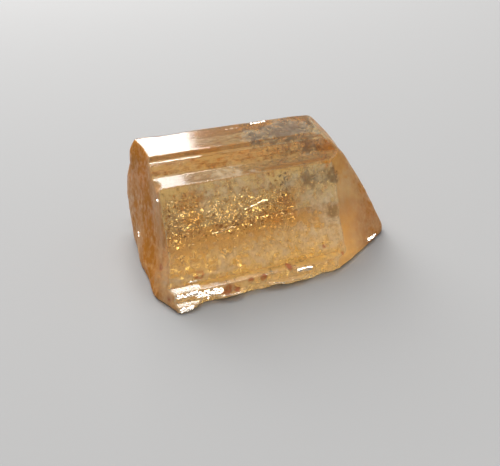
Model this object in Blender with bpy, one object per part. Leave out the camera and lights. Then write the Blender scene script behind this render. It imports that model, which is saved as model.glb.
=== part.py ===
"""A stubby, broken prism of imperial topaz, lying on one side face.

Metres, +Z up. The long axis (the c axis of the crystal) runs along X and the widest clean face looks
towards -Y. The crystal is one solid: a prism of natural faces, cleaved on the left, broken on the
right, and chipped along its lower front edge.
"""
import math

import bmesh
import bpy
import numpy as np
from mathutils import Matrix, Vector, noise

MM = 0.001

# --- the prism ------------------------------------------------------------------------------------
CELL_A, CELL_B = 4.65, 8.80      # the two cell edges across the long axis, in angstroms
AXIS_HEIGHT = 4.95               # mm, the height of the long axis in the places given below
BASE_DISTANCE = 4.06             # mm from the long axis down to the face that the crystal rests on
BLANK_LEFT, BLANK_RIGHT = -9.9, 11.6

# Each face across the long axis, in order from the top round the front: the name, its two Miller
# indices (front, up) and its distance in mm from the long axis. Neighbours meet in an edge, and a
# smaller distance after a larger one makes a growth step.
FACES = (
    ("top", (0, 1), 4.96),
    ("crest", (1, 1), 2.14),
    ("crest ledge", (0, 1), 4.54),
    ("riser", (1, 2), 3.41),
    ("shelf", (1, 13), 3.84),
    ("front", (21, 22), 3.76),
    ("front wall", (1, 0), 5.56),
    ("foot ledge", (1, 13), -1.95),
    ("foot", (1, 0), 6.37),
    ("toe ledge", (1, 13), -2.52),
    ("toe", (1, 0), 6.97),
    ("front bevel", (1, -1), 8.01),
    ("base", (0, -1), BASE_DISTANCE),
    ("lower back", (-1, -1), 5.24),
    ("lower back ledge", (0, -1), 1.95),
    ("lower back rim", (-1, -1), 5.36),
    ("back wall", (-1, 0), 5.72),
    ("upper back rim", (-1, 1), 5.76),
    ("back ledge", (0, 1), 2.35),
    ("upper back", (-1, 1), 5.66),
)

# --- the two ends ---------------------------------------------------------------------------------
# Planes that an end is made of, each as a point on it in mm and the way it faces. The end is their soft
# minimum along its aim, so they run into each other over the blend in mm.
LEFT_AIM = (-1.0, 0.0, 0.0)
LEFT_PLANES = (
    ((-8.12, -5.60, 1.00), (-1.0, -0.095, 0.045)),
    ((-8.12, 0.12, 9.91), (-1.0, 0.0, 0.190)),
)
LEFT_BLEND = 0.08
STEP_HEIGHT, STEP_RAMP = 0.07, 0.30  # cleavage steps of the left end, and the share of each that slopes
LIPS = (  # swellings of the left end: place (y, z), width and height in mm
    ((-4.45, 1.15), 1.25, 0.86),
    ((-0.90, 1.15), 2.00, 0.72),
    ((3.70, 8.75), 0.95, 0.50),
)
RIGHT_AIM = (0.86, -0.30, 0.41)
RIGHT_PLANES = (
    ((5.78, -2.34, 8.49), (0.517, -0.755, 0.403)),
    ((5.90, 0.12, 9.91), (0.66, -0.12, 0.75)),
    ((9.35, -1.84, 5.00), (0.87, -0.10, 0.50)),
    ((8.90, 3.20, 5.00), (0.76, 0.60, 0.20)),
    ((6.10, -5.70, 1.00), (0.461, -0.887, 0.0)),
    ((11.35, -2.20, 1.90), (0.97, 0.10, -0.05)),
    ((11.05, -2.70, 0.95), (0.66, -0.25, -0.70)),
)
RIGHT_BLEND = 0.20
RIPPLE_CENTRE = (5.2, 3.0, 11.0)  # where the break on the right started
RIPPLE_STEP, RIPPLE_HEIGHT = 1.70, 0.022
END_GRID = 60
END_SIZE, END_DEPTH = 18.0, 24.0  # mm, the size of the block that shapes an end, across and along its aim

# --- chips ----------------------------------------------------------------------------------------
# Shell-shaped chips: where each one bites in mm, its size along X, Y and Z, and its turn in degrees.
CHIPS = (
    ("chip_shelf_corner", (-8.35, -2.05, 8.95), (0.95, 0.80, 0.72), (0, 25, 30)),
    ("chip_top_back_left", (-6.40, 4.25, 10.55), (3.30, 1.00, 0.86), (0, 4, 0)),
    ("chip_top_back", (1.45, 4.20, 10.35), (1.10, 0.75, 0.62), (0, 0, 10)),
    ("chip_top_right", (6.05, 0.20, 10.35), (0.80, 0.90, 0.70), (20, 0, 0)),
    ("chip_foot_middle", (-1.90, -7.25, 1.10), (1.30, 0.95, 0.90), (0, 6, -6)),
    ("chip_foot_left", (-5.70, -7.20, 1.00), (1.05, 0.85, 0.70), (0, -8, 8)),
    ("chip_foot_right", (3.60, -7.22, 1.20), (2.20, 1.00, 0.95), (0, 10, 4)),
    ("chip_step", (0.85, -6.85, 2.05), (0.90, 0.70, 0.55), (30, 0, 12)),
    ("chip_back_low", (-5.2, 5.30, 1.60), (1.90, 1.10, 1.30), (20, 0, 10)),
    ("chip_back_high", (3.4, 5.95, 7.30), (1.50, 0.80, 1.10), (0, 15, 5)),
    ("chip_nose", (11.60, -2.40, 5.10), (2.30, 2.10, 2.20), (0, 20, 30)),
)
ROUGH_EDGE = ((0.0, -6.62, 1.02), (0.0, -0.72, -0.70))  # the worn lower front edge: a point, its facing
ROUGH_HEIGHT = 0.16
ROUGH_LENGTH, ROUGH_BREADTH, ROUGH_DEPTH = 24.0, 2.6, 3.0
TIP_RANGE, TIP_KEEP = (-5.9, -7.8), 0.42  # mm, where the wear fades out to the left, and how much less it is


def clear_scene():
    for obj in list(bpy.data.objects):
        bpy.data.objects.remove(obj, do_unlink=True)
    for collection in list(bpy.data.collections):
        bpy.data.collections.remove(collection)


def new_collection(name):
    collection = bpy.data.collections.new(name)
    bpy.context.scene.collection.children.link(collection)
    return collection


def new_object(name, bm, collection, smooth=False):
    bmesh.ops.recalc_face_normals(bm, faces=bm.faces[:])
    mesh = bpy.data.meshes.new(name)
    bm.to_mesh(mesh)
    bm.free()
    mesh.polygons.foreach_set("use_smooth", [smooth] * len(mesh.polygons))
    obj = bpy.data.objects.new(name, mesh)
    collection.objects.link(obj)
    return obj


def facing(indices):
    """The direction, as (y, z), that a face of these two indices looks: the front is -Y."""
    front, up = indices
    return Vector((-front / CELL_A, up / CELL_B)).normalized()


def meeting(first, second):
    """The corner (y, z) in mm at which two neighbouring faces meet."""
    (_, ia, da), (_, ib, db) = first, second
    a, b = facing(ia), facing(ib)
    y, z = np.linalg.solve(np.array([a[:], b[:]]), np.array([da, db]))
    return float(y), float(z) + AXIS_HEIGHT


def prism(collection):
    """The natural prism: the outline that its faces close, drawn out along the long axis."""
    bm = bmesh.new()
    corners = [meeting(a, b) for a, b in zip(FACES, FACES[1:] + FACES[:1])]
    outline = bm.faces.new([bm.verts.new((BLANK_LEFT * MM, y * MM, z * MM)) for y, z in corners])
    drawn = bmesh.ops.extrude_face_region(bm, geom=[outline], use_keep_orig=True)
    far = [item for item in drawn["geom"] if isinstance(item, bmesh.types.BMVert)]
    bmesh.ops.translate(bm, verts=far, vec=((BLANK_RIGHT - BLANK_LEFT) * MM, 0, 0))
    return new_object("topaz_crystal", bm, collection)


def soft_height(point, aim, planes, blend):
    """How far in mm along the aim a point travels before it meets the soft minimum of the planes."""
    heights = np.array([
        (Vector(on) - point).dot(Vector(way).normalized()) / aim.dot(Vector(way).normalized())
        for on, way in planes
    ])
    least = heights.min()
    return float(least - blend * math.log(np.exp(-(heights - least) / blend).sum()))


def broken_block(name, collection, aim, planes, blend, relief, middle):
    """A block whose near side is a broken surface: it takes away all that lies outside it."""
    aim = Vector(aim).normalized()
    side = aim.cross(Vector((0, 0, 1))).normalized()
    up = side.cross(aim)
    bm = bmesh.new()
    bmesh.ops.create_grid(bm, x_segments=END_GRID, y_segments=END_GRID, size=END_SIZE / 2)
    for vert in bm.verts:
        on_plane = Vector(middle) + side * vert.co.x + up * vert.co.y
        surface = on_plane + aim * soft_height(on_plane, aim, planes, blend)
        vert.co = (surface + aim * relief(surface)) * MM
    near = bm.faces[:]
    drawn = bmesh.ops.extrude_face_region(bm, geom=near, use_keep_orig=True)
    far = [item for item in drawn["geom"] if isinstance(item, bmesh.types.BMVert)]
    for vert in far:
        on = vert.co / MM - Vector(middle)
        vert.co += aim * (END_DEPTH - on.dot(aim)) * MM
    return new_object(name, bm, collection)


def left_relief(point):
    """A cleaved end: nearly flat, with shallow steps whose edges wander."""
    wander = noise.noise(point * 0.55 + Vector((3.1, 7.7, 1.9)))
    level = point.z * 0.30 - point.y * 0.12 + wander * 0.8
    step = min(1.0, (level - math.floor(level)) / STEP_RAMP)
    stair = STEP_HEIGHT * (math.floor(level) + step * step * (3 - 2 * step))
    swelling = 0.0
    for (y, z), width, height in LIPS:
        away = math.hypot(point.y - y, point.z - z) / width
        swelling += height * math.exp(-away * away / 2)
    return STEP_HEIGHT - stair + swelling + 0.02 * noise.noise(point * 1.1)


def right_relief(point):
    """A shell-like break: rings round the place where it started, with fine unevenness."""
    far = (point - Vector(RIPPLE_CENTRE)).length
    far += 0.9 * noise.noise(point * 0.40 + Vector((5.0, 1.0, 2.0)))
    ring = math.sin(far / RIPPLE_STEP * 2 * math.pi)
    uneven = noise.noise(point * 0.33 + Vector((1.0, 6.0, 3.0)))
    fine = noise.noise(point * 1.25)
    return RIPPLE_HEIGHT * ring + 0.16 * uneven + 0.045 * fine


def rough_edge(collection):
    """The worn lower front edge: a long slanting block with an uneven side."""
    point, way = Vector(ROUGH_EDGE[0]), Vector(ROUGH_EDGE[1]).normalized()
    down = Vector((1, 0, 0)).cross(way)
    bm = bmesh.new()
    bmesh.ops.create_grid(bm, x_segments=64, y_segments=7, size=0.5)
    for vert in bm.verts:
        on = point + Vector((ROUGH_LENGTH * vert.co.x, 0, 0)) + down * (ROUGH_BREADTH * vert.co.y)
        bumpy = noise.fractal(on * 0.62 + Vector((0.0, 4.0, 9.0)), 0.8, 2.2, 3)
        fade = min(1.0, max(0.0, (on.x - TIP_RANGE[0]) / (TIP_RANGE[1] - TIP_RANGE[0])))
        vert.co = (on + way * (TIP_KEEP * fade - ROUGH_HEIGHT * (0.35 + bumpy))) * MM
    drawn = bmesh.ops.extrude_face_region(bm, geom=bm.faces[:], use_keep_orig=True)
    far = [item for item in drawn["geom"] if isinstance(item, bmesh.types.BMVert)]
    bmesh.ops.translate(bm, verts=far, vec=way * ROUGH_DEPTH * MM)
    return new_object("worn_lower_edge", bm, collection)


def chip(name, collection, place, size, turn):
    """One shell-shaped chip: a slightly uneven ellipsoid that bites the crystal."""
    bm = bmesh.new()
    bmesh.ops.create_icosphere(bm, subdivisions=3, radius=1.0)
    turned = Matrix.Rotation(math.radians(turn[2]), 4, "Z")
    turned = turned @ Matrix.Rotation(math.radians(turn[1]), 4, "Y")
    turned = turned @ Matrix.Rotation(math.radians(turn[0]), 4, "X")
    for vert in bm.verts:
        uneven = 1 + 0.09 * noise.noise(vert.co * 1.7 + Vector(place))
        scaled = Vector([vert.co[i] * size[i] * uneven for i in range(3)])
        vert.co = (Vector(place) + turned @ scaled) * MM
    return new_object(name, bm, collection)


def take_away(body, cutter):
    cutter.hide_render = True
    cutter.display_type = "WIRE"
    cut = body.modifiers.new(cutter.name, "BOOLEAN")
    cut.operation = "DIFFERENCE"
    cut.solver = "EXACT"
    cut.object = cutter


def topaz_material():
    material = bpy.data.materials.new("imperial_topaz")
    material.use_nodes = True
    shader = material.node_tree.nodes["Principled BSDF"]
    shader.inputs["Base Color"].default_value = (0.87, 0.62, 0.30, 1)
    shader.inputs["Roughness"].default_value = 0.05
    shader.inputs["IOR"].default_value = 1.62
    shader.inputs["Transmission Weight"].default_value = 1.0
    return material


def centre(objects, body):
    """Moves everything so that the middle of the crystal's underside is at the origin."""
    bpy.context.view_layer.update()
    solid = body.evaluated_get(bpy.context.evaluated_depsgraph_get())
    mesh = solid.to_mesh()
    points = np.array([vert.co[:] for vert in mesh.vertices])
    solid.to_mesh_clear()
    low, high = points.min(axis=0), points.max(axis=0)
    shift = Vector(((low[0] + high[0]) / 2, (low[1] + high[1]) / 2, low[2]))
    for obj in objects:
        obj.data.transform(Matrix.Translation(-shift))


def build():
    clear_scene()
    parts = new_collection("imperial_topaz")
    cutters = new_collection("cutters")
    crystal = prism(parts)
    take_away(crystal, broken_block(
        "cleaved_left_end", cutters, LEFT_AIM, LEFT_PLANES, LEFT_BLEND, left_relief, (-8.3, 0.0, 5.0)))
    take_away(crystal, broken_block(
        "broken_right_end", cutters, RIGHT_AIM, RIGHT_PLANES, RIGHT_BLEND, right_relief, (8.0, -0.5, 5.2)))
    take_away(crystal, rough_edge(cutters))
    for name, place, size, turn in CHIPS:
        take_away(crystal, chip(name, cutters, place, size, turn))
    crystal.data.materials.append(topaz_material())
    centre([crystal] + list(cutters.objects), crystal)


build()
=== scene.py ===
"""An imperial topaz: its clear body, its lined, etched and broken skin, and what is sealed in it."""
import math
import random

import bmesh
import bpy
import numpy as np
from mathutils import Matrix, Vector, noise
from mathutils.bvhtree import BVHTree


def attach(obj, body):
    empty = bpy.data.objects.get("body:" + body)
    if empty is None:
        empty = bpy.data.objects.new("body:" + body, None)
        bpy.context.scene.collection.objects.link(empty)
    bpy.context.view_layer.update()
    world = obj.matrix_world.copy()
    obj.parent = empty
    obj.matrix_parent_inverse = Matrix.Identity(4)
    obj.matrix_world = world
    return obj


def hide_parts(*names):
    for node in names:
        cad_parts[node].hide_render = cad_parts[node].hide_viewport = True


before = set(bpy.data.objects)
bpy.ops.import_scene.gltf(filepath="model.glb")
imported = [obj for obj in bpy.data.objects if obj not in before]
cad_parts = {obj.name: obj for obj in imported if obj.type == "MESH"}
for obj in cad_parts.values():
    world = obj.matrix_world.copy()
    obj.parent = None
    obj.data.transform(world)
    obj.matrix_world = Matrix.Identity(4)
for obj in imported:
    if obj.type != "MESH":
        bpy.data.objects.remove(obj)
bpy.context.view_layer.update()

MM = 0.001

# --- camera, in mm, degrees and pixels --------------------------------------------------------------
VIEW_AZIMUTH, VIEW_ELEVATION = -20.34, 30.26
VIEW_DISTANCE = 49.8
VIEW_TARGET = (-0.967, 0.625, 3.342)
IMAGE_WIDTH, IMAGE_HEIGHT = 500, 466
FOCAL_LENGTH = 615.2
SHIFT_X, SHIFT_Y = -1.1, -26.5
SENSOR = 36.0                                     # mm

# --- lights: azimuth from behind the crystal towards its broken end, elevation, distance ------------
WINDOW_AIM = (-6.0, 40.5, 416.0)
WINDOW_SIZE = (270.0, 310.0)                      # mm
WINDOW_RADIANCE = 9.4
SKYLIGHT_AIM = (31.0, 69.0, 416.0)
SKYLIGHT_SIZE = (110.0, 84.0)                     # mm
SKYLIGHT_RADIANCE = 17.0
LAMP_AIM = (165.0, 76.0, 416.0)
LAMP_SIZE = (72.0, 60.0)                          # mm
LAMP_RADIANCE = 17.0
ROOM_COLOUR = (0.95, 0.97, 1.0, 1)
ROOM_STRENGTH = (0.20, 0.55)                      # at the horizon and overhead
FLOOR_COLOUR = (0.36, 0.355, 0.35, 1)
FLOOR_REACH = 600.0                               # mm, half the floor's width
FLOOR_DROP = 0.02                                 # mm, the air gap under the crystal

# --- topaz ------------------------------------------------------------------------------------------
TOPAZ_IOR = 1.62
ABSORPTION_COLOUR, ABSORPTION_DENSITY = (0.91, 0.73, 0.19, 1), 196.0
MESH_DEPTH, MESH_FILL = 8, 0.80                   # octree steps of the fine mesh, and the share it fills
MERGE_DISTANCE = 0.0005                           # mm
EDGE_WEAR, END_WEAR = 3, 8                        # rounds of smoothing that blunt the edges, and the ends
BREAK_WEAR = 26                                   # more rounds, which round the broken end's rim
SHARP_ANGLE = 40                                  # degrees, between faces that are shaded apart
LEFT_END_X, RIGHT_END_X = -6.5, 2.8               # mm, where the two ends' surfaces begin at the nearest

# The wide front face: its upper edge in mm, and how steeply it falls.
FRONT_EDGE_Y, FRONT_EDGE_Z = -1.714, 7.60
FRONT_OUT = Vector((0.0, -0.875, 0.484))
FRONT_DOWN = Vector((0.0, -0.484, -0.875))
FOOT_TOP = 1.75                                   # mm, the height of the ledges and walls of the foot
SHELF_LOW, SHELF_HIGH = 6.8, 8.4                  # mm, the shelf above the face lies between these
CREST_LOW, CREST_HIGH = 8.45, 8.84                # mm, and the narrow crest ledge between these

# The finish: each pair goes from clean to stained, and the painted grey from dark to pale; that grey is
# painted darkness standing in for dark surroundings seen through the stone.
CLEAR_TINT, STAINED_TINT = (1.0, 0.965, 0.90, 1), (1.0, 0.66, 0.28, 1)
CLEAN_MILK, STAINED_MILK = (0.97, 0.86, 0.62, 1), (0.50, 0.19, 0.018, 1)
CLEAN_GLOW, STAINED_GLOW = (0.98, 0.92, 0.80, 1), (0.85, 0.46, 0.12, 1)
DARK_PAINTED_GREY, PALE_PAINTED_GREY = (0.05, 0.05, 0.05, 1), (0.22, 0.205, 0.175, 1)
RUST_COLOUR = (0.40, 0.085, 0.02, 1)
LEAST_ROUGHNESS = 0.03
# The painted darkness is grey skin that stands in for dark surroundings seen through the stone.
MOST_DARKNESS_PAINT, MOST_RUST = 0.85, 0.85                # how much of the glass they cover at most

# Noise that raises the skin, each as a height in mm, a stretch and a seed.
LINES = (
    (0.012, (0.10, 2.0, 2.0), (4, 1, 7)), (0.006, (0.30, 4.5, 4.5), (1, 8, 3)),
    (0.008, (0.35, 0.5, 0.5), (9, 2, 5)),
)
HACKLE = ((0.030, (1.0, 1.0, 1.0), (3, 3, 6)), (0.008, (3.0, 3.0, 3.0), (8, 1, 1)))
CLEAVAGE = ((0.030, (1.2, 0.8, 0.5), (6, 4, 2)), (0.010, (3.0, 3.0, 1.5), (2, 9, 4)))
FOOT_WEAR = ((0.025, (1.6, 2.2, 2.2), (5, 1, 9)),)
ETCH_PITS = (
    # depth in mm, stretch, seed, and how far a pit's slope reaches
    (0.085, (0.8, 2.1, 2.1), (2, 5, 8), 0.75), (0.040, (1.9, 4.4, 4.4), (7, 3, 1), 0.70),
)

# --- what is sealed in it and what glints on it -----------------------------------------------------
SKIN_DEPTH = 0.12                                 # mm, how far under the skin a sealed grain lies at least
GLINT_LIFT = 0.03                                 # mm, how far a glint stands out of the skin
GRAIN_FLATNESS, PEBBLE_FLATNESS, PLATE_FLATNESS = 0.22, 0.7, 0.3
LEAST_DEPTH = 0.15                                # mm, of a crack's flecks behind the front face
LEVEL_TILT = (0.14, -0.14)                        # radians about X and Y: most flecks lie almost level
STREAK_TILT = (0.264, -0.168)                     # and a streak's mirror the window through the skin
STREAK_SPREAD, GLINT_SPREAD = 0.05, 0.03          # radians, how far a plate's tilt is off
DRAW_SEED = 11


# --- shader making ----------------------------------------------------------------------------------
class Wire:
    """A shader value. Arithmetic on it adds Math nodes."""

    def __init__(self, finish, socket):
        self.finish, self.socket = finish, socket

    def maths(self, operation, *values):
        return self.finish.node(
            "ShaderNodeMath", {"operation": operation}, dict(enumerate(values)))

    def __add__(self, other):
        return self.maths("ADD", self, other)

    def __sub__(self, other):
        return self.maths("SUBTRACT", self, other)

    def __rsub__(self, other):
        return self.maths("SUBTRACT", other, self)

    def __mul__(self, other):
        return self.maths("MULTIPLY", self, other)

    def least(self, other):
        return self.maths("MINIMUM", self, other)

    def most(self, other):
        return self.maths("MAXIMUM", self, other)

    def step(self, low, high):
        """0 below low and 1 above high, with a smooth rise between."""
        return self.finish.node(
            "ShaderNodeMapRange", {"interpolation_type": "SMOOTHSTEP"}, {0: self, 1: low, 2: high})

    __radd__, __rmul__ = __add__, __mul__


class Finish:
    """A material in the making."""

    def __init__(self, name):
        self.material = bpy.data.materials.new(name)
        self.material.use_nodes = True
        self.tree = self.material.node_tree
        self.tree.nodes.clear()
        self.output = self.tree.nodes.new("ShaderNodeOutputMaterial")

    def node(self, kind, settings=None, sockets=None, output=0):
        """Adds a node, sets its settings and then its sockets, and returns one of its outputs."""
        made = self.tree.nodes.new(kind)
        for name, value in (settings or {}).items():
            if name == "stops":
                self.place_stops(made.color_ramp, value)
            else:
                setattr(made, name, value)
        for name, value in (sockets or {}).items():
            if isinstance(value, Wire):
                self.tree.links.new(value.socket, made.inputs[name])
            else:
                made.inputs[name].default_value = value
        return Wire(self, made.outputs[output])

    def place_stops(self, ramp, stops):
        while len(ramp.elements) < len(stops):
            ramp.elements.new(1.0)
        for element, (position, colour) in zip(ramp.elements, stops):
            element.position, element.color = position, colour

    def places(self, stretch=(1, 1, 1)):
        """Object coordinates in mm, stretched so that a pattern runs along or across the crystal."""
        here = self.node("ShaderNodeTexCoord", output="Object")
        scale = tuple(value / MM for value in stretch)
        return self.node("ShaderNodeMapping", {}, {"Vector": here, "Scale": scale})

    def clouds(self, places, scale, detail=3.0, roughness=0.55):
        return self.node("ShaderNodeTexNoise", {}, {
            "Vector": places, "Scale": scale, "Detail": detail, "Roughness": roughness})

    def cells(self, places, scale):
        """Distance to the middle of the nearest cell."""
        return self.node("ShaderNodeTexVoronoi", {}, {"Vector": places, "Scale": scale}, "Distance")

    def mix(self, share, first, second):
        """A colour between two colours."""
        return self.node("ShaderNodeMix", {"data_type": "RGBA"}, {
            0: share, 6: first, 7: second}, 2)

    def mix_values(self, share, first, second):
        """A number between two numbers."""
        return self.node("ShaderNodeMix", {"data_type": "FLOAT"}, {0: share, 2: first, 3: second}, 0)

    def attribute(self, name):
        return self.node("ShaderNodeAttribute", {"attribute_name": name}, {}, "Fac")

    def blend(self, first, second, share):
        return self.node("ShaderNodeMixShader", {}, {0: share, 1: first, 2: second})

    def close(self, surface, volume=None):
        self.tree.links.new(surface.socket, self.output.inputs["Surface"])
        if volume:
            self.tree.links.new(volume.socket, self.output.inputs["Volume"])
        return self.material


# --- camera, lights and floor -----------------------------------------------------------------------
def camera_stand():
    """The camera's place in mm, and the way from the crystal back to it."""
    turn, rise = math.radians(VIEW_AZIMUTH), math.radians(VIEW_ELEVATION)
    back = Vector((math.sin(turn) * math.cos(rise), -math.cos(turn) * math.cos(rise), math.sin(rise)))
    return Vector(VIEW_TARGET) + back * VIEW_DISTANCE, back


def place_camera():
    place, back = camera_stand()
    lens = bpy.data.cameras.new("camera")
    lens.sensor_width = SENSOR
    lens.lens = FOCAL_LENGTH * SENSOR / IMAGE_WIDTH
    lens.shift_x, lens.shift_y = SHIFT_X / IMAGE_WIDTH, SHIFT_Y / IMAGE_WIDTH
    lens.clip_start = MM
    camera = bpy.data.objects.new("camera", lens)
    bpy.context.scene.collection.objects.link(camera)
    camera.location = place * MM
    camera.rotation_euler = back.to_track_quat("Z", "Y").to_euler()
    bpy.context.scene.camera = camera


def light_way(aim):
    """The way to a light, from its azimuth and elevation."""
    turn, rise = math.radians(aim[0]), math.radians(aim[1])
    return Vector((math.sin(turn) * math.cos(rise), math.cos(turn) * math.cos(rise), math.sin(rise)))


def soft_box(name, aim, size, radiance):
    """A rectangular light that faces the crystal from the aim's azimuth, elevation and distance."""
    way = light_way(aim)
    lamp = bpy.data.lights.new(name, "AREA")
    lamp.shape = "RECTANGLE"
    lamp.size, lamp.size_y = size[0] * MM, size[1] * MM
    lamp.energy = radiance * math.pi * lamp.size * lamp.size_y
    light = bpy.data.objects.new(name, lamp)
    bpy.context.scene.collection.objects.link(light)
    light.location = way * aim[2] * MM
    light.rotation_euler = way.to_track_quat("Z", "Y").to_euler()


def light_room():
    soft_box("window", WINDOW_AIM, WINDOW_SIZE, WINDOW_RADIANCE)
    soft_box("skylight", SKYLIGHT_AIM, SKYLIGHT_SIZE, SKYLIGHT_RADIANCE)
    soft_box("lamp", LAMP_AIM, LAMP_SIZE, LAMP_RADIANCE)
    room = bpy.data.worlds.new("room")
    bpy.context.scene.world = room
    room.use_nodes = True
    tree = room.node_tree
    air = tree.nodes["Background"]
    air.inputs["Color"].default_value = ROOM_COLOUR
    way = tree.nodes.new("ShaderNodeTexCoord")
    parts = tree.nodes.new("ShaderNodeSeparateXYZ")
    brightness = tree.nodes.new("ShaderNodeMapRange")
    brightness.inputs["To Min"].default_value, brightness.inputs["To Max"].default_value = ROOM_STRENGTH
    tree.links.new(way.outputs["Generated"], parts.inputs["Vector"])
    tree.links.new(parts.outputs["Z"], brightness.inputs["Value"])
    tree.links.new(brightness.outputs["Result"], air.inputs["Strength"])


def lay_floor():
    bm = bmesh.new()
    bmesh.ops.create_grid(bm, x_segments=1, y_segments=1, size=FLOOR_REACH * MM)
    bmesh.ops.translate(bm, verts=bm.verts[:], vec=(0, 0, -FLOOR_DROP * MM))
    floor = new_piece("floor", bm)
    paint = Finish("pale_floor")
    floor.data.materials.append(paint.close(paint.node("ShaderNodeBsdfPrincipled", {}, {
        "Base Color": FLOOR_COLOUR, "Roughness": 0.9, "Specular IOR Level": 0.1})))


def new_piece(name, bm):
    mesh = bpy.data.meshes.new(name)
    bm.to_mesh(mesh)
    bm.free()
    piece = bpy.data.objects.new(name, mesh)
    bpy.context.scene.collection.objects.link(piece)
    return piece


# --- the crystal's surface --------------------------------------------------------------------------
def rise(values, low, high):
    """0 below low and 1 above high, with a smooth rise between."""
    t = np.clip((values - low) / (high - low), 0, 1)
    return t * t * (3 - 2 * t)


def clouds(points, stretch, seed):
    """Smooth noise in -1..1 at each point in mm."""
    spots = points * np.array(stretch) + np.array(seed)
    return np.array([noise.noise(Vector(spot)) for spot in spots])


def pits(points, stretch, seed):
    """Distance to the nearest of scattered spots, for etch pits."""
    spots = points * np.array(stretch) + np.array(seed)
    return np.array([noise.voronoi(Vector(spot))[0][0] for spot in spots])


def fine_mesh():
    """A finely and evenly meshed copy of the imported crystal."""
    bm = bmesh.new()
    bm.from_mesh(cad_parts["topaz_crystal"].data)
    bmesh.ops.remove_doubles(bm, verts=bm.verts[:], dist=MERGE_DISTANCE * MM)
    coarse = new_piece("topaz_coarse", bm)
    remesh = coarse.modifiers.new("even mesh", "REMESH")
    remesh.mode = "SHARP"
    remesh.octree_depth, remesh.scale = MESH_DEPTH, MESH_FILL
    shaped = coarse.evaluated_get(bpy.context.evaluated_depsgraph_get())
    mesh = bpy.data.meshes.new_from_object(shaped)
    bpy.data.objects.remove(coarse)
    mesh.name = "topaz_body"
    return mesh


def smooth(bm, verts):
    bmesh.ops.smooth_vert(bm, verts=verts, factor=0.5, use_axis_x=True, use_axis_y=True, use_axis_z=True)


def blunt(mesh):
    """Wears the edges off a little, and those of the two ends more."""
    bm = bmesh.new()
    bm.from_mesh(mesh)
    ends = [vert for vert in bm.verts if abs(vert.normal.x) > 0.08]
    for verts, rounds in ((bm.verts[:], EDGE_WEAR), (ends, END_WEAR)):
        for _ in range(rounds):
            smooth(bm, verts)
    for _ in range(BREAK_WEAR):
        bm.normal_update()
        smooth(bm, [vert for vert in bm.verts if vert.normal.x > 0.03 and vert.co.x > RIGHT_END_X * MM])
    bm.to_mesh(mesh)
    bm.free()


def read_vectors(items, key):
    values = np.empty(len(items) * 3)
    items.foreach_get(key, values)
    return values.reshape(-1, 3)


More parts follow.
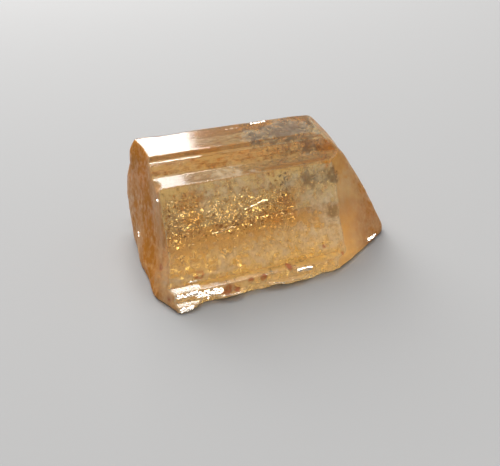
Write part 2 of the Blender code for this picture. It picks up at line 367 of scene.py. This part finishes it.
class Zones:
    """Which part of the skin each vertex belongs to, as shares from 0 to 1. Only patchy goes below 0."""

    def __init__(self, points, normals):
        nx, ny, nz = normals.T
        x, _, height = points.T
        self.everywhere = np.ones(len(points))
        self.left = rise(-nx, 0.25, 0.55) * (1 - rise(x, LEFT_END_X - 0.5, LEFT_END_X))
        self.right = rise(nx, 0.22, 0.42) * rise(x, RIGHT_END_X, RIGHT_END_X + 0.5)
        self.right_far = self.right * rise(x, 5.9, 8.4)
        self.faces = (1 - self.left) * (1 - self.right)
        self.base = self.faces * rise(-nz, 0.80, 0.95)
        self.back = self.faces * rise(ny, 0.30, 0.60)
        self.under_back = self.back * (1 - rise(nz, -0.30, 0.10))
        self.upper_back = self.back - self.under_back
        self.riser = self.faces * rise(-ny, 0.35, 0.55) * rise(nz, 0.58, 0.66)
        # The rims between the faces and the ends, painted milkier and paler: partly worn frosting, partly
        # a painted highlight along the edges.
        self.rims = rise(np.abs(nx), 0.06, 0.20) * (1 - rise(np.abs(nx), 0.28, 0.42)) * (1 - self.base)
        self.find_front(x, ny, height)
        self.find_ledges(points, ny, nz)
        self.find_left_end(points)
        self.find_spots(points)

    def find_front(self, x, ny, height):
        """The wide front face, its misty right and low parts, and the foot under it."""
        self.front = self.faces * rise(-ny, 0.30, 0.60)
        self.foot = self.front * (1 - rise(height, FOOT_TOP, FOOT_TOP + 0.3))
        self.tip = self.foot * (1 - rise(x, -5.4, -4.2))
        self.misty = (self.front - self.foot) * rise(x, 0.8, 4.6)
        self.low_front = (self.front - self.foot) * (1 - rise(height, 2.6, 4.4))

    def find_ledges(self, points, ny, nz):
        """The level places: the top, the shelf, the crest ledge and the ledges of the foot."""
        x, _, height = points.T
        self.flats = self.faces * rise(nz, 0.93, 0.98)
        self.lined = self.faces * (1 - self.flats)
        shelf = self.flats * rise(height, SHELF_LOW, SHELF_LOW + 0.2)
        shelf = shelf * (1 - rise(height, SHELF_HIGH - 0.2, SHELF_HIGH))
        self.leaning_shelf = shelf * rise(x, -8.4, -6.3)
        crest = self.faces * rise(ny, -0.9, -0.1) * rise(height, CREST_LOW, CREST_LOW + 0.07)
        crest = crest * (1 - rise(height, CREST_HIGH - 0.08, CREST_HIGH))
        self.leaning_crest = crest * rise(x, -5.4, -4.2)
        self.ledges = self.flats * (1 - rise(height, FOOT_TOP, FOOT_TOP + 0.3))
        # The left part of the foot's ledges, with a ragged end: their shading leans to mirror the
        # skylight, and their skin is painted milkier as a painted highlight.
        ragged = 0.6 * clouds(points, (1.8, 1.8, 1.8), (2, 2, 2))
        self.ledge_highlight = self.ledges * (1 - rise(x + ragged, -7.5, -7.0))

    def find_left_end(self, points):
        """The left end's pale rim, a painted highlight along its edge with the front face, and its orange
        core, by how deep they lie behind the front face.
        """
        edge = np.array((0.0, FRONT_EDGE_Y, FRONT_EDGE_Z))
        deep = (points - edge) @ -np.array(FRONT_OUT)
        self.left_rim_highlight = self.left * (1 - rise(deep, 0.4, 1.9))
        self.left_core = self.left * rise(deep, 1.5, 2.6) * (1 - rise(deep, 3.6, 5.2))

    def find_spots(self, points):
        """Patches of noise, and listed spots."""
        patches = clouds(points, (0.35, 0.6, 0.6), (5, 5, 5))
        self.patchy = patches * self.front
        self.pale_patches = rise(patches, 0.0, 0.5) * self.front
        self.haze = near_spots(points, HAZE_SPOTS, (1, 2, 8))
        self.hazy_faces = self.haze * self.faces
        self.orange = near_spots(points, ORANGE_SPOTS, (7, 2, 1))
        # Painted darkness: where the skin is painted grey to stand in for dark surroundings seen through
        # the stone.
        self.painted_dark_share = near_spots(points, DARKNESS_PAINT_SPOTS, (4, 4, 9)) * (1 - self.left)
        self.rusty = near_spots(points, RUST_SPOTS, (3, 8, 2))


def layered(points, layers):
    """Layers of noise, summed in mm."""
    return sum(height * clouds(points, stretch, seed) for height, stretch, seed in layers)


def surface_relief(points, zones):
    """How far in mm each vertex stands out of the plain crystal."""
    lines = layered(points, LINES) * (1 - 0.95 * zones.flats - 0.4 * zones.upper_back)
    dents = sum(
        depth * (rise(pits(points, stretch, seed), 0.05, reach) - 1)
        for depth, stretch, seed, reach in ETCH_PITS)
    height = zones.faces * lines
    height += (zones.under_back + 0.12 * zones.upper_back + 0.20 * zones.base) * dents
    height += zones.right * layered(points, HACKLE)
    height += zones.left * layered(points, CLEAVAGE)
    height += zones.foot * layered(points, FOOT_WEAR)
    return height


# --- places on the skin -----------------------------------------------------------------------------
def crystal_skin():
    """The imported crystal's surface, for finding places on it."""
    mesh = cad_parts["topaz_crystal"].data
    corners = [vert.co for vert in mesh.vertices]
    return BVHTree.FromPolygons(corners, [face.vertices for face in mesh.polygons])


SKIN = crystal_skin()


def seen(across, down):
    """The place in mm on the skin that the camera sees at a pixel of its picture."""
    eye, back = camera_stand()
    right = Vector((0, 0, 1)).cross(back).normalized()
    up = back.cross(right)
    way = right * (across - IMAGE_WIDTH / 2 + SHIFT_X) + up * (IMAGE_HEIGHT / 2 - down + SHIFT_Y)
    way -= back * FOCAL_LENGTH
    place, _, _, _ = SKIN.ray_cast(eye * MM, way.normalized())
    return place / MM


def mirror_tilt(place, aim):
    """Tilts in radians about X and Y of a plate at a place in mm that mirrors a light to the camera."""
    eye, _ = camera_stand()
    out = (light_way(aim) + (eye - place).normalized()).normalized()
    return math.asin(-out.y), math.atan2(out.x, out.z)


# Spots on the skin, each as a place in mm and a radius in mm.
RUST_SPOTS = (
    (seen(200, 275), 0.40), (seen(197, 277), 0.25), (seen(228, 290), 0.50), (seen(236, 289), 0.38),
    (seen(222, 292), 0.30), (seen(251, 280), 0.24), (seen(264, 278), 0.34), (seen(289, 266), 0.36),
    (seen(324, 246), 0.17), (seen(343, 253), 0.22), (seen(161, 268), 0.26), (seen(169, 299), 0.22),
)
HAZE_SPOTS = (
    ((-5.9, -2.2, 6.8), 1.5), ((-3.6, -1.6, 7.4), 1.9), ((-1.4, -2.0, 7.0), 1.2),
    ((1.8, -2.6, 5.8), 1.8), ((3.5, -3.3, 4.8), 1.3), ((-2.2, -4.6, 2.4), 1.5), ((1.5, -4.4, 2.8), 1.6),
    ((4.4, -3.8, 3.9), 1.7), ((-0.4, -4.4, 2.8), 1.5), ((3.6, -4.6, 2.4), 1.5), ((-4.6, -4.7, 2.3), 1.2),
)
# Where the skin is painted dark grey, as painted darkness that stands in for dark surroundings seen
# through the stone.
DARKNESS_PAINT_SPOTS = (
    ((-0.2, 1.5, 9.0), 1.3), ((1.6, 1.6, 9.0), 1.8), ((3.3, 2.0, 9.0), 1.6), ((2.7, 3.1, 9.0), 1.2),
    ((3.6, 0.1, 8.2), 1.0), ((4.6, -2.3, 6.6), 0.9), ((2.6, -2.4, 6.5), 0.8), ((4.2, -3.6, 4.2), 0.7),
)
ORANGE_SPOTS = (
    ((-6.8, -2.3, 6.5), 1.2), ((-6.6, -2.9, 5.4), 0.9), ((-0.6, -3.3, 4.8), 1.0),
    ((0.6, -2.9, 5.4), 1.1), ((-4.6, 0.9, 8.4), 1.6), ((5.4, -1.0, 7.4), 1.8),
)


def near_spots(points, spots, seed, raggedness=0.45):
    """1 on the given spots and 0 away from them, with ragged rims."""
    ragged = raggedness * clouds(points, (2.5, 2.5, 2.5), seed)
    found = np.zeros(len(points))
    for place, radius in spots:
        far = np.linalg.norm(points - np.array(place), axis=1) / radius
        found = np.maximum(found, 1 - rise(far + ragged, 0.45, 1.1))
    return found


SKIN_LAYERS = {
    # what each zone adds to a layer that the finish reads
    "frost": {
        "everywhere": 0.09, "patchy": 0.03, "flats": 0.03, "left": 0.24, "right": 0.28,
        "back": -0.03, "base": -0.03, "foot": 0.10},
    "milk": {
        "everywhere": 0.06, "pale_patches": 0.05, "hazy_faces": 0.30, "left": 0.80, "right": 0.12,
        # the rims are painted milkier here: partly worn frosting, partly a painted highlight
        "right_far": 0.52, "under_back": 0.06, "base": 1.30, "rims": 0.20, "foot": 0.25, "tip": 0.30,
        # the foot's left ledges are painted milkier here, as a painted highlight
        "flats": -0.04, "ledge_highlight": 0.30, "misty": 0.27, "low_front": 0.22},
    "stain": {
        # the rims, and the left end's rim next to the front face, are painted paler here as painted
        # highlights; the rims are partly worn frosting too
        "everywhere": 0.12, "riser": 0.62, "under_back": 0.30, "back": -0.10, "rims": -0.30,
        "foot": -0.12, "base": -0.12, "ledges": -0.12, "left": 0.72, "left_core": 0.28,
        "left_rim_highlight": -0.12, "right": 0.45, "right_far": 0.30, "orange": 0.70, "haze": -0.05,
        "misty": -0.20, "low_front": -0.20},
    "glow": {
        "everywhere": 0.42, "low_front": 0.15, "foot": 0.10, "left": -0.22, "right": -0.22,
        # the foot's left ledges take less of the light that shines through, part of their painted
        # highlight
        "ledge_highlight": -0.20, "base": -0.42},
    # how far the shading leans to the right, and towards the back
    "lean": {"leaning_shelf": 0.050, "leaning_crest": 0.35},
    "nod": {"ledge_highlight": -0.15},
    # painted darkness on the skin, standing in for dark surroundings seen through the stone
    "smoke": {"painted_dark_share": 1.0},
    "lines": {"lined": 1.0},
    "broken": {"left": 1.0, "right": 1.0},
    "cleaved": {"left": 1.0},
    "etched": {"under_back": 1.0, "base": 0.20},
    "rust": {"rusty": 1.0},
}


def paint_zones(mesh, zones):
    """Writes what the finish needs to know about each vertex."""
    for name, shares in SKIN_LAYERS.items():
        values = sum(share * getattr(zones, zone) for zone, share in shares.items())
        layer = mesh.attributes.new(name, "FLOAT", "POINT")
        layer.data.foreach_set("value", values.astype(np.float32))


def skin_bump(finish, grain):
    """Fine lines on the faces, grain on the broken ends and pebbles where the skin is etched."""
    even = finish.places()
    lines = finish.clouds(finish.places((0.25, 1, 1)), 3.2, 4.0, 0.6)
    drawn_out = finish.places((0.6, 1, 1))
    specks, fine_specks = finish.cells(drawn_out, 3.4), finish.cells(drawn_out, 6.5)
    etched = finish.attribute("etched") * finish.clouds(even, 0.7, 3.0).step(0.30, 0.60)
    height = lines * finish.attribute("lines") * 0.014 + grain * finish.attribute("broken") * 0.016
    height = height + ((1 - specks) * 0.24 + (1 - fine_specks) * 0.08) * etched
    upright = finish.node("ShaderNodeNewGeometry", output="Normal")
    sideways = finish.node("ShaderNodeCombineXYZ", {}, {
        "X": finish.attribute("lean"), "Y": finish.attribute("nod")})
    leaning = finish.node("ShaderNodeVectorMath", {"operation": "ADD"}, {0: upright, 1: sideways})
    return finish.node("ShaderNodeBump", {}, {
        "Height": height, "Distance": MM, "Strength": 1.0, "Normal": leaning})


def stain_share(finish):
    """How orange the skin is: drawn out up and down on the cleaved end, and mottled elsewhere."""
    mottled = finish.clouds(finish.places(), 1.1, 5.0, 0.65)
    cleaved = finish.clouds(finish.places((1, 0.60, 0.18)), 1.3, 3.0, 0.55)
    mottled = finish.mix_values(finish.attribute("cleaved"), mottled, cleaved)
    return (finish.attribute("stain") + (mottled - 0.5) * 0.9).most(0.0).least(1.0)


def milky_skin(finish, stain, painted_dark_share, pebbles, bump):
    """A milky skin: part of it shows the light in front, and part the light that shines through. Where the
    painted darkness lies, its paint is grey, standing in for dark surroundings seen through the stone.
    """
    painted_grey = finish.mix(pebbles.step(0.50, 0.64), DARK_PAINTED_GREY, PALE_PAINTED_GREY)
    paint = finish.mix(painted_dark_share, finish.mix(stain, CLEAN_MILK, STAINED_MILK), painted_grey)
    lit = finish.node("ShaderNodeBsdfPrincipled", {}, {
        "Base Color": paint, "Roughness": 0.5, "Specular IOR Level": 0.05, "Normal": bump})
    clean, stained = [
        finish.node("ShaderNodeBsdfTranslucent", {}, {"Color": colour, "Normal": bump})
        for colour in (CLEAN_GLOW, STAINED_GLOW)]
    return finish.blend(lit, finish.blend(clean, stained, stain), finish.attribute("glow"))


def topaz_finish():
    """Clear honey topaz. Its roughness, stain and milky skin change from face to face."""
    finish = Finish("imperial_topaz")
    even = finish.places()
    grain = finish.clouds(even, 4.0, 3.0, 0.6)
    bump, stain = skin_bump(finish, grain), stain_share(finish)
    frost = finish.attribute("frost") + (grain - 0.5) * 0.08
    glass = finish.node("ShaderNodeBsdfPrincipled", {}, {
        "Base Color": finish.mix(stain, CLEAR_TINT, STAINED_TINT),
        "Roughness": frost.most(LEAST_ROUGHNESS), "IOR": TOPAZ_IOR,
        "Transmission Weight": 1.0, "Normal": bump})
    pebbles = finish.clouds(finish.places((1.3, 0.75, 1.3)), 2.6, 2.0, 0.6)
    # Painted darkness: grey skin that stands in for dark surroundings seen through the stone.
    painted_dark_share = finish.attribute("smoke") * pebbles.step(0.30, 0.52)
    milky = milky_skin(finish, stain, painted_dark_share, pebbles, bump)
    share = finish.attribute("milk") * finish.clouds(even, 1.8, 5.0, 0.7).step(0.25, 0.70) * 1.6
    surface = finish.blend(glass, milky, share.most(painted_dark_share * MOST_DARKNESS_PAINT).least(1.0))
    rusty = finish.node("ShaderNodeBsdfPrincipled", {}, {"Base Color": RUST_COLOUR, "Roughness": 0.6})
    stained = finish.attribute("rust") * finish.clouds(even, 4.0, 4.0).step(0.30, 0.52)
    surface = finish.blend(surface, rusty, stained * MOST_RUST)
    depth = finish.node("ShaderNodeVolumeAbsorption", {}, {
        "Color": ABSORPTION_COLOUR, "Density": ABSORPTION_DENSITY})
    return finish.close(surface, depth)


def make_body():
    """The crystal's body, in a fine mesh with its surface shaped and its finish on."""
    mesh = fine_mesh()
    blunt(mesh)
    points = read_vectors(mesh.vertices, "co") / MM
    normals = read_vectors(mesh.vertex_normals, "vector")
    zones = Zones(points, normals)
    moved = points + normals * surface_relief(points, zones)[:, None]
    moved[:, 2] = np.maximum(moved[:, 2], 0)
    mesh.vertices.foreach_set("co", (moved * MM).ravel())
    mesh.update()
    paint_zones(mesh, zones)
    mesh.shade_smooth()
    mesh.set_sharp_from_angle(angle=math.radians(SHARP_ANGLE))
    body = bpy.data.objects.new("topaz_body", mesh)
    bpy.context.scene.collection.objects.link(body)
    body.data.materials.clear()
    body.data.materials.append(topaz_finish())
    join_crystal(body)
    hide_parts("topaz_crystal")


def join_crystal(piece):
    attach(piece, "root")


# --- what is sealed in the crystal ------------------------------------------------------------------
def inside(x, down, deep):
    """A place in mm: x along the crystal, so far down the wide front face, and so deep behind it."""
    edge = Vector((x, FRONT_EDGE_Y, FRONT_EDGE_Z))
    return edge + FRONT_DOWN * down - FRONT_OUT * deep


def grain_mesh(flatness):
    """One small flattened grain, 2 m across before it is scaled."""
    bm = bmesh.new()
    bmesh.ops.create_icosphere(bm, subdivisions=1, radius=1.0)
    bmesh.ops.scale(bm, verts=bm.verts[:], vec=(1, 1, flatness))
    mesh = bpy.data.meshes.new("grain")
    bm.to_mesh(mesh)
    bm.free()
    return mesh


def plate_mesh(thickness):
    """One thin six-sided plate with a flat top, 2 m across before it is scaled."""
    bm = bmesh.new()
    bmesh.ops.create_cone(
        bm, cap_ends=True, segments=6, radius1=1.0, radius2=0.85, depth=thickness)
    mesh = bpy.data.meshes.new("plate")
    bm.to_mesh(mesh)
    bm.free()
    return mesh


def is_sealed(placement):
    """Whether a placement lies under the skin, and not too near it."""
    place = placement.translation
    nearest, out, _, _ = SKIN.find_nearest(place)
    return (nearest - place).dot(out) > SKIN_DEPTH * MM


def scatter(name, grain, placements, finish):
    """Joins one copy of the grain for each placement into one piece."""
    bm = bmesh.new()
    for placement in placements:
        copy = grain.copy()
        copy.transform(placement)
        bm.from_mesh(copy)
        bpy.data.meshes.remove(copy)
    piece = new_piece(name, bm)
    piece.data.materials.append(finish)
    join_crystal(piece)


def placement(place, size, tilt):
    """Scales a grain to its sizes in mm, spins it, tilts it and puts it in its place in mm."""
    turned = Matrix.Rotation(tilt[1], 4, "Y") @ Matrix.Rotation(tilt[0], 4, "X")
    turned = turned @ Matrix.Rotation(tilt[2], 4, "Z")
    return Matrix.Translation(Vector(place) * MM) @ turned @ Matrix.Diagonal((*(Vector(size) * MM), 1))


def fleck_finish(name, colour, metal, rough, glow):
    """A fleck: part mirror or paint, part light that shines through it."""
    finish = Finish(name)
    shine = finish.node("ShaderNodeBsdfPrincipled", {}, {
        "Base Color": colour, "Metallic": metal, "Roughness": rough})
    through = finish.node("ShaderNodeBsdfTranslucent", {}, {"Color": colour})
    return finish.close(finish.blend(shine, through, glow))


def unsteady(draw, tilt, spread):
    """The two tilts, each drawn a little off."""
    return [angle + draw.gauss(0, spread) for angle in tilt]


def crack_placements(draw, centre, reach, wave, count, sizes, spread, patchiness):
    """Flecks on a wavy sheet behind the front face, with its centre as (x, down, deep)."""
    seed = draw.uniform(0, 50)
    placements = []
    while len(placements) < count:
        along, down = draw.uniform(-1, 1), draw.gauss(0, 0.5)
        if abs(down) > 1:
            continue
        x, low = centre[0] + along * reach[0], centre[1] + down * reach[1]
        dense = noise.noise(Vector((x * 0.7, low * 2.2 + 0.35 * x, seed)))
        if dense < draw.uniform(-0.5, patchiness):
            continue
        deep = centre[2] + wave * noise.noise(Vector((x * 0.5, low * 0.5, seed + 3.3)))
        size = draw.uniform(*sizes) * (1.9 if draw.random() < 0.06 else 1.0)
        tilt = (*unsteady(draw, LEVEL_TILT, spread), draw.gauss(0, 0.3))
        long = size * draw.uniform(1.0, 2.4)
        place = inside(x, low, max(deep, LEAST_DEPTH))
        placements.append(placement(place, (long, size, size), tilt))
    return list(filter(is_sealed, placements))


def cloud_placements(draw, centre, reach, count, sizes):
    """Flecks turned every way in a patchy box, given by its centre and half sizes in mm."""
    placements = []
    while len(placements) < count:
        place = Vector([c + r * draw.uniform(-1, 1) for c, r in zip(centre, reach)])
        if noise.noise(place * 1.3) < draw.uniform(-0.5, 0.2):
            continue
        size = draw.uniform(*sizes)
        tilt = [draw.uniform(-1.2, 1.2) for _ in range(3)]
        placements.append(placement(place, (size * draw.uniform(1.0, 2.0), size, size), tilt))
    return list(filter(is_sealed, placements))


def glint_placements(draw, centre, reach, count, sizes, level):
    """Plates on the skin round a centre in mm, all tilted much the same way."""
    placements = []
    for _ in range(count):
        place = Vector([c + r * draw.uniform(-1, 1) for c, r in zip(centre, reach)])
        nearest, out, _, _ = SKIN.find_nearest(place * MM)
        skin = nearest / MM + out * GLINT_LIFT
        size = draw.uniform(*sizes)
        tilt = (*unsteady(draw, level, GLINT_SPREAD), draw.uniform(-0.6, 0.6))
        placements.append(placement(skin, (size * draw.uniform(1.0, 2.0), size, size), tilt))
    return placements


def streak_placements(draw, start, end, count, sizes):
    """Flecks strung out from one place to another, each as (x, down, deep)."""
    placements = []
    for number in range(count):
        share = (number + draw.uniform(0.2, 0.8)) / count
        x, low, deep = [a + (b - a) * share for a, b in zip(start, end)]
        low += 0.03 * math.sin(share * 7) + draw.gauss(0, 0.03)
        size = draw.uniform(*sizes)
        tilt = (*unsteady(draw, STREAK_TILT, STREAK_SPREAD), 0.0)
        placements.append(placement(inside(x, low, deep), (size * 2.2, size, size), tilt))
    return placements


CRACKS = (
    # centre (x, down, deep), reach (along, down), wave, count, half sizes, spread of tilt, patchiness
    ("healed_crack_upper", (-3.6, 2.7, 1.3), (4.9, 1.9), 0.9, 850, (0.020, 0.050), 0.20, 0.35),
    ("healed_crack_inner", (-3.4, 2.9, 2.8), (5.0, 1.8), 1.2, 600, (0.022, 0.055), 0.22, 0.35),
    ("healed_crack_lower", (-0.8, 5.6, 1.0), (5.4, 0.8), 0.5, 500, (0.018, 0.042), 0.20, 0.30),
)
STREAKS = (
    # start and end as (x, down, deep), count, half sizes
    ((-5.4, 3.85, 0.5), (-3.7, 3.62, 0.5), 34, (0.050, 0.085)),
    ((-2.6, 2.45, 0.7), (-0.8, 2.15, 0.7), 22, (0.036, 0.065)),
    ((-4.9, 5.6, 0.4), (-1.0, 5.9, 0.4), 34, (0.022, 0.040)),
    ((-6.1, 6.45, 0.25), (-3.9, 6.35, 0.25), 30, (0.024, 0.045)),
    ((-7.6, 3.1, 0.8), (-5.6, 3.2, 0.9), 12, (0.020, 0.040)),
    ((-1.5, 3.3, 1.0), (1.2, 3.5, 1.0), 18, (0.020, 0.040)),
    ((3.9, 0.6, 0.3), (4.6, 5.6, 0.3), 40, (0.014, 0.034)),
)
# Duller grains, with the same values as the cracks.
GOLDEN_SHEET = ((-3.8, 2.5, 1.6), (4.9, 2.0), 1.2, 1400, (0.020, 0.050), 0.9, 0.30)
PALE_SHEETS = (
    ((-0.6, 5.2, 0.9), (5.6, 1.1), 0.8, 700, (0.015, 0.036), 0.9, 0.25),
    ((-2.6, 0.9, 0.7), (5.0, 0.8), 0.6, 500, (0.014, 0.032), 0.9, 0.25),
)
# Grey grains in the upper right part: dark things put there as painted darkness, standing in for dark
# surroundings seen through the stone.
DARKENING_CLOUDS = (
    # centre and half size in mm, count, half sizes of the grains
    ((2.2, 2.2, 8.50), (3.0, 1.5, 0.40), 2400, (0.015, 0.042)),
    ((2.6, -0.1, 7.75), (2.4, 0.9, 0.45), 1500, (0.015, 0.042)),
)
DARKENING_SHEET = ((2.4, 1.4, 0.7), (1.9, 1.3), 0.4, 500, (0.020, 0.050), 0.9, 0.2)
DARK_SPOTS = (
    # place as (x, down, deep), and radius in mm
    ((-7.5, 3.65, 0.2), 0.10), ((3.1, 5.5, 0.3), 0.09), ((-5.55, 6.2, 0.2), 0.08),
    ((0.4, 1.2, 0.4), 0.07), ((-8.1, 5.2, 0.3), 0.06),
)
TOP_CHIP, LEFT_WALL, RIGHT_WALL = seen(255, 123.5), seen(210, 293), seen(305, 269)
LEDGE_CORNER, NOSE = seen(194, 281), seen(372, 237)
# Glints of a group share the tilt that mirrors a light from the group's middle.
TOP_TILT = mirror_tilt(TOP_CHIP, WINDOW_AIM)
CORNER_TILT = mirror_tilt(LEDGE_CORNER, SKYLIGHT_AIM)
LEFT_WALL_TILT = mirror_tilt(LEFT_WALL, LAMP_AIM)
RIGHT_WALL_TILT = mirror_tilt(RIGHT_WALL, SKYLIGHT_AIM)
NOSE_TILT = mirror_tilt(NOSE, LAMP_AIM)
GLINTS = (
    # place in mm, half sizes of the cluster, count, half sizes of the glints, tilt
    (TOP_CHIP, (0.36, 0.06, 0.01), 24, (0.04, 0.07), TOP_TILT),
    (seen(263, 122), (0.16, 0.05, 0.01), 10, (0.03, 0.06), TOP_TILT),
    ((-1.6, 3.60, 9.00), (0.60, 0.10, 0.01), 5, (0.02, 0.03), TOP_TILT),
    (seen(369, 239), (0.20, 0.05, 0.06), 16, (0.05, 0.09), NOSE_TILT),
    (NOSE, (0.22, 0.05, 0.06), 18, (0.05, 0.09), NOSE_TILT),
    (seen(374, 235), (0.16, 0.05, 0.06), 12, (0.05, 0.09), NOSE_TILT),
    (seen(139, 233), (0.02, 0.20, 0.22), 10, (0.03, 0.05), TOP_TILT),
    (seen(158, 201), (0.03, 0.12, 0.12), 6, (0.03, 0.05), TOP_TILT),
    (LEDGE_CORNER, (0.40, 0.02, 0.06), 20, (0.04, 0.07), CORNER_TILT),
    (LEFT_WALL, (1.00, 0.02, 0.30), 150, (0.04, 0.08), LEFT_WALL_TILT),
    (seen(187, 295), (0.75, 0.02, 0.12), 80, (0.04, 0.08), LEFT_WALL_TILT),
    (seen(187, 309), (0.45, 0.02, 0.18), 60, (0.04, 0.07), LEFT_WALL_TILT),
    (RIGHT_WALL, (0.55, 0.02, 0.14), 50, (0.04, 0.08), RIGHT_WALL_TILT),
    (seen(187, 157), (0.75, 0.02, 0.02), 20, (0.02, 0.04), TOP_TILT),
)
FLECKS = {
    # colour, how metallic and how rough it is, and the share of light that shines through
    "bright_flecks": ((1.0, 0.95, 0.84, 1), 1.0, 0.20, 0.15),
    "edge_glints": ((1.0, 0.93, 0.82, 1), 0.45, 0.12, 0.25),
    "golden_flecks": ((0.58, 0.36, 0.10, 1), 0.5, 0.40, 0.35),
    "pale_haze": ((0.93, 0.86, 0.74, 1), 0.0, 0.50, 0.60),
    # the grey grains are painted darkness, dark things that stand in for dark surroundings seen through
    # the stone
    "darkening_grains": ((0.30, 0.29, 0.27, 1), 0.2, 0.45, 0.40),
    "dark_specks": ((0.05, 0.03, 0.015, 1), 0.0, 0.50, 0.0),
}


def gather(draw, place, rows):
    """The placements that a function draws for each row of its values, in one list."""
    return [placed for row in rows for placed in place(draw, *row)]


def make_sealed():
    """The cracks, streaks, grains and specks in the crystal, and the glints on it."""
    finish = {name: fleck_finish(name, *look) for name, look in FLECKS.items()}
    flat_grain, pebble = grain_mesh(GRAIN_FLATNESS), grain_mesh(PEBBLE_FLATNESS)
    plate = plate_mesh(PLATE_FLATNESS)
    draw = random.Random(DRAW_SEED)
    for name, *sheet in CRACKS:
        scatter(name, flat_grain, crack_placements(draw, *sheet), finish["bright_flecks"])
    scatter("growth_streaks", plate, gather(draw, streak_placements, STREAKS), finish["bright_flecks"])
    golden = crack_placements(draw, *GOLDEN_SHEET)
    scatter("golden_grains", flat_grain, golden, finish["golden_flecks"])
    scatter("pale_grains", pebble, gather(draw, crack_placements, PALE_SHEETS), finish["pale_haze"])
    # Painted darkness: grey grains under the upper right part of the top and front.
    darkening_places = gather(draw, cloud_placements, DARKENING_CLOUDS) + crack_placements(draw, *DARKENING_SHEET)
    scatter("darkening_grains", flat_grain, darkening_places, finish["darkening_grains"])
    scatter("edge_glints", plate, gather(draw, glint_placements, GLINTS), finish["edge_glints"])
    specks = [
        placement(inside(*place), (size, size * 0.7, size), (0.2, 0.4, 0.3))
        for place, size in DARK_SPOTS]
    scatter("dark_specks", pebble, specks, finish["dark_specks"])


place_camera()
light_room()
lay_floor()
make_body()
make_sealed()
bpy.context.scene.view_settings.view_transform = "Standard"
